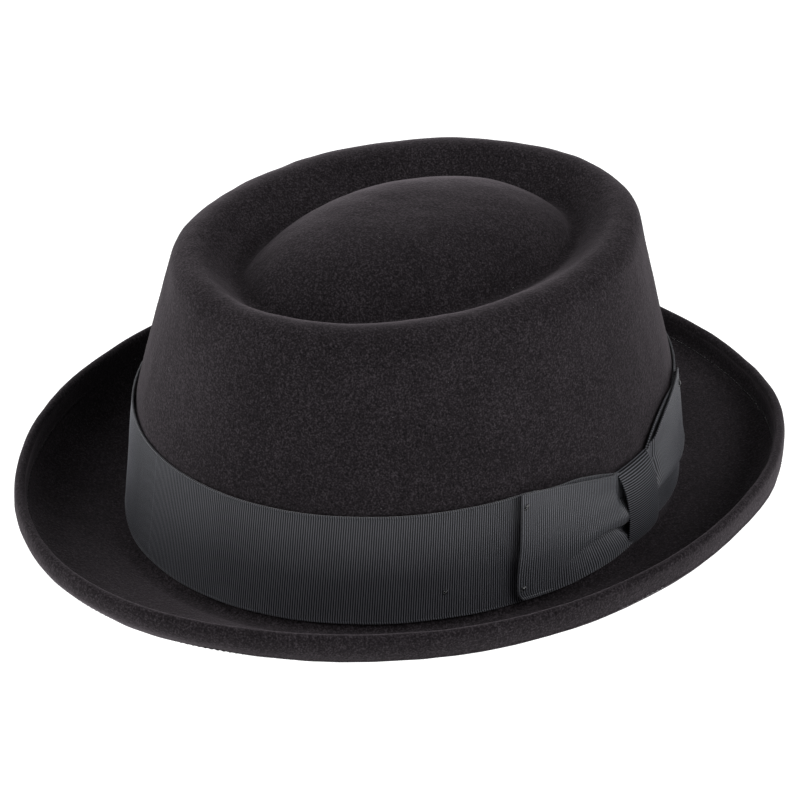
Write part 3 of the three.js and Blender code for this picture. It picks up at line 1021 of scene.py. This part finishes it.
def tacks():
    """Tacks at the corners of the bow, and one crossed tack on the band."""
    runs = []
    for along, climb in BOW_TACKS:
        share = (climb - TACK_FOOT) / TACK_HEIGHT
        face = float(front_surface(np.array([along]), np.array([share]))[1][0]) + TACK_OFF
        for beside, above, sunk, *thread in TACK_THREADS:
            runs.append(wall_stitch(along + beside, climb + above, face - sunk, *thread))
    reach = np.interp(np.radians(BAND_TACK_ANGLE), ROUND_ANGLES, ROUND_REACH) - BOW_REACH
    for rise, lift in BAND_TACK_THREADS:
        runs.append(wall_stitch(
            reach, BAND_TACK_CLIMB, BAND_TACK_OFF, BAND_TACK_RUN, rise, BAND_TACK_RADIUS, lift,
        ))
    return runs


stitches_piece("edge_stitching", edge_stitches())
stitches_piece("bow_tacks", tacks())

# Nap and lint: spread of a fibre's length, of its rise, of its tip's rise and of its curl, the
# share of its length at which it bends, and how deep its root lies
FIBRE_LENGTHS = (0.45, 1.35)
FIBRE_RISES = (0.4, 1.6)
FIBRE_TIPS = (0.3, 1.3)
FIBRE_CURL = 0.35
FIBRE_BEND = 0.55
ROOT_DEPTH = 0.05


def fibres(name, roots, out, ahead, length, width, lie, material, seed):
    """Fine bent fibres that lie on the felt and stand off at its outline."""
    rng = np.random.default_rng(seed)
    n = len(roots)
    side = unit(np.cross(out, ahead))
    turned = rng.uniform(0, FULL_TURN, n)[:, None]
    tangent = ahead * np.cos(turned) + side * np.sin(turned)
    bend = ahead * np.sin(turned) - side * np.cos(turned)
    long = (length * rng.uniform(*FIBRE_LENGTHS, n))[:, None]
    rise = rng.uniform(*FIBRE_RISES, n)[:, None] * lie
    curl = rng.normal(0, FIBRE_CURL, n)[:, None]
    mid = roots + tangent * long * FIBRE_BEND + out * long * rise * 0.5
    tip = roots + tangent * long + bend * long * curl
    tip = tip + out * long * rise * rng.uniform(*FIBRE_TIPS, n)[:, None]
    flat = unit(np.cross(tip - roots, out)) * (width / 2)
    sunk = out * ROOT_DEPTH
    verts = np.stack([roots - flat - sunk, roots + flat - sunk, mid - flat, mid + flat, tip], 1)
    base = np.arange(n)[:, None] * 5
    faces = (base + [0, 1, 3, 2]).tolist() + (base + [2, 3, 4]).tolist()
    mesh_object(name, verts.reshape(-1, 3), faces, material, shade=False)


def scatter(surface, normals, count, rng, weight=None):
    """Random places on a grid surface, evenly by area or by weighted area."""
    a, b = surface[:-1], surface[1:]
    c = np.roll(a, -1, 1)
    area = np.linalg.norm(np.cross(b - a, c - a), axis=-1)
    if weight is not None:
        area = area * weight[:-1, None]
    pick = rng.choice(area.size, count, p=(area / area.sum()).ravel())
    r, j = np.unravel_index(pick, area.shape)
    u, v = rng.uniform(size=(2, count, 1))
    k = (j + 1) % surface.shape[1]

    def at(grid):
        return mix(mix(grid[r, j], grid[r + 1, j], u), mix(grid[r, k], grid[r + 1, k], u), v)

    return at(surface), unit(at(normals))


def combed(out, rng):
    """Random directions that lie in the surface."""
    return unit(np.cross(out, rng.normal(size=out.shape)))


# Nap: fibres on the upper face and on the outer rows of the underside. The rows at the brim's
# edge have more of them
NAP_ABOVE = 34000
NAP_BELOW = 9000
NAP_UNDER_ROWS = 26
NAP_EDGE_ROWS = 8
NAP_EDGE_WEIGHT = 2.2


def nap_piece():
    rng = np.random.default_rng(11)
    weight = np.ones(len(UPPER))
    weight[:NAP_EDGE_ROWS] = NAP_EDGE_WEIGHT
    tops, top_out = scatter(UPPER, OUT, NAP_ABOVE, rng, weight)
    rows = slice(0, NAP_UNDER_ROWS)
    lows, low_out = scatter(UNDER[rows], -OUT[rows], NAP_BELOW, rng)
    roots = np.concatenate([tops, lows])
    out = np.concatenate([top_out, low_out])
    fibres("felt_nap", roots, out, combed(out, rng), 0.85, 0.045, 0.32, NAP_LOOK, 12)


nap_piece()

# Lint: name, count, length, width, lie and seed of the specks and of the hairs
LINT = [("lint_specks", 130, 0.28, 0.13, 0.3, 32), ("lint_hairs", 26, 1.5, 0.05, 0.25, 33)]


def lint_pieces():
    rng = np.random.default_rng(31)
    for name, count, length, width, lie, seed in LINT:
        places, out = scatter(UPPER, OUT, count, rng)
        fibres(name, places, out, combed(out, rng), length, width, lie, LINT_LOOK, seed)


lint_pieces()

# Floor and light, in metres
FLOOR_GLOW = 1.25
FLOOR_SIZE = 4.0
FLOOR_DROP = 0.0002
WORLD_GLOW = 0.05
LAMP_DISTANCE = 1.6
LAMP_TARGET = (0, 0, 0.05)
# Soft boxes: azimuth, elevation, size and brightness
LAMPS = {
    "box_right": (133, 38, (1.4, 0.75), 5.2),
    "box_right_low": (135, 9, (1.4, 0.5), 2.2),
    "box_left": (318, 32, (1.8, 0.8), 2.1),
    "box_left_low": (318, 9, (1.8, 0.5), 4.0),
    "box_front": (0, 34, (1.0, 0.8), 3.3),
    "box_side": (92, 36, (1.2, 0.8), 0.8),
    "box_corner": (282, 9, (1.0, 0.5), 0.7),
    "box_far": (240, 14, (1.2, 0.8), 1.2),
    "box_top": (0, 89, (1.4, 1.4), 0.5),
}


def floor_piece():
    material = mottled_material("floor_paper", 3, (0.10, 0.10, 0.10), (0.12, 0.12, 0.12), {
        "Roughness": 0.9,
        "Specular IOR Level": 0.1,
        "Emission Color": colour(1, 1, 1),
        "Emission Strength": FLOOR_GLOW,
    })
    mesh = bpy.data.meshes.new("floor")
    signs = [(-1, -1), (1, -1), (1, 1), (-1, 1)]
    verts = [(x * FLOOR_SIZE, y * FLOOR_SIZE, 0) for x, y in signs]
    mesh.from_pydata(verts, [], [(0, 1, 2, 3)])
    floor = bpy.data.objects.new("floor", mesh)
    floor.location.z = -FLOOR_DROP
    mesh.materials.append(material)
    bpy.context.collection.objects.link(floor)


def toward(azimuth, elevation):
    """Direction from the hat at an azimuth and an elevation in radians."""
    flat = np.cos(elevation)
    return np.array([np.sin(azimuth) * flat, -np.cos(azimuth) * flat, np.sin(elevation)])


def soft_box(name, azimuth, elevation, size, brightness):
    """Wide soft lamp that points at the hat. brightness is that of its face."""
    data = bpy.data.lights.new(name, "AREA")
    data.shape = "RECTANGLE"
    data.size, data.size_y = size
    data.energy = brightness * np.pi * size[0] * size[1]
    lamp = bpy.data.objects.new(name, data)
    back = Vector(toward(*np.radians([azimuth, elevation])))
    lamp.location = Vector(LAMP_TARGET) + back * LAMP_DISTANCE
    lamp.visible_camera = False
    lamp.rotation_mode = "QUATERNION"
    lamp.rotation_quaternion = back.to_track_quat("Z", "Y")
    bpy.context.collection.objects.link(lamp)


def world():
    scene = bpy.context.scene
    scene.world = bpy.data.worlds.new("studio")
    scene.world.use_nodes = True
    background = scene.world.node_tree.nodes["Background"]
    put(background, {"Color": colour(1, 1, 1), "Strength": WORLD_GLOW})


# Camera: angles in degrees, focal length in pixels of the picture, distance from the target,
# and the target's height and its shift right and up in the picture, in millimetres
VIEW_AZIMUTH, VIEW_ELEVATION, VIEW_ROLL = 59.93, 32.118, -0.296
VIEW_FOCAL = 3749.877
VIEW_DISTANCE = 1300.0
VIEW_HEIGHT = 45.0
VIEW_SHIFT = (-1.055, -7.525)
PICTURE_WIDTH = 800
SENSOR_WIDTH = 36


def camera():
    azimuth, elevation, roll = np.radians([VIEW_AZIMUTH, VIEW_ELEVATION, VIEW_ROLL])
    back = toward(azimuth, elevation)
    right = np.array([np.cos(azimuth), np.sin(azimuth), 0.0])
    up = np.cross(back, right)
    target = np.array([0, 0, VIEW_HEIGHT]) + right * VIEW_SHIFT[0] + up * VIEW_SHIFT[1]
    eye = (target + back * VIEW_DISTANCE) * MM
    turned_right = right * np.cos(roll) + up * np.sin(roll)
    turned_up = -right * np.sin(roll) + up * np.cos(roll)
    data = bpy.data.cameras.new("photo_view")
    data.sensor_width = SENSOR_WIDTH
    data.lens = VIEW_FOCAL / PICTURE_WIDTH * SENSOR_WIDTH
    data.clip_start, data.clip_end = 0.05, 20
    seen = bpy.data.objects.new("photo_view", data)
    columns = np.stack([turned_right, turned_up, back, eye], 1)
    seen.matrix_world = Matrix(columns.tolist() + [[0, 0, 0, 1]])
    bpy.context.collection.objects.link(seen)
    bpy.context.scene.camera = seen


floor_piece()
world()
for lamp_name, lamp in LAMPS.items():
    soft_box(lamp_name, *lamp)
camera()
bpy.context.scene.view_settings.view_transform = "Standard"
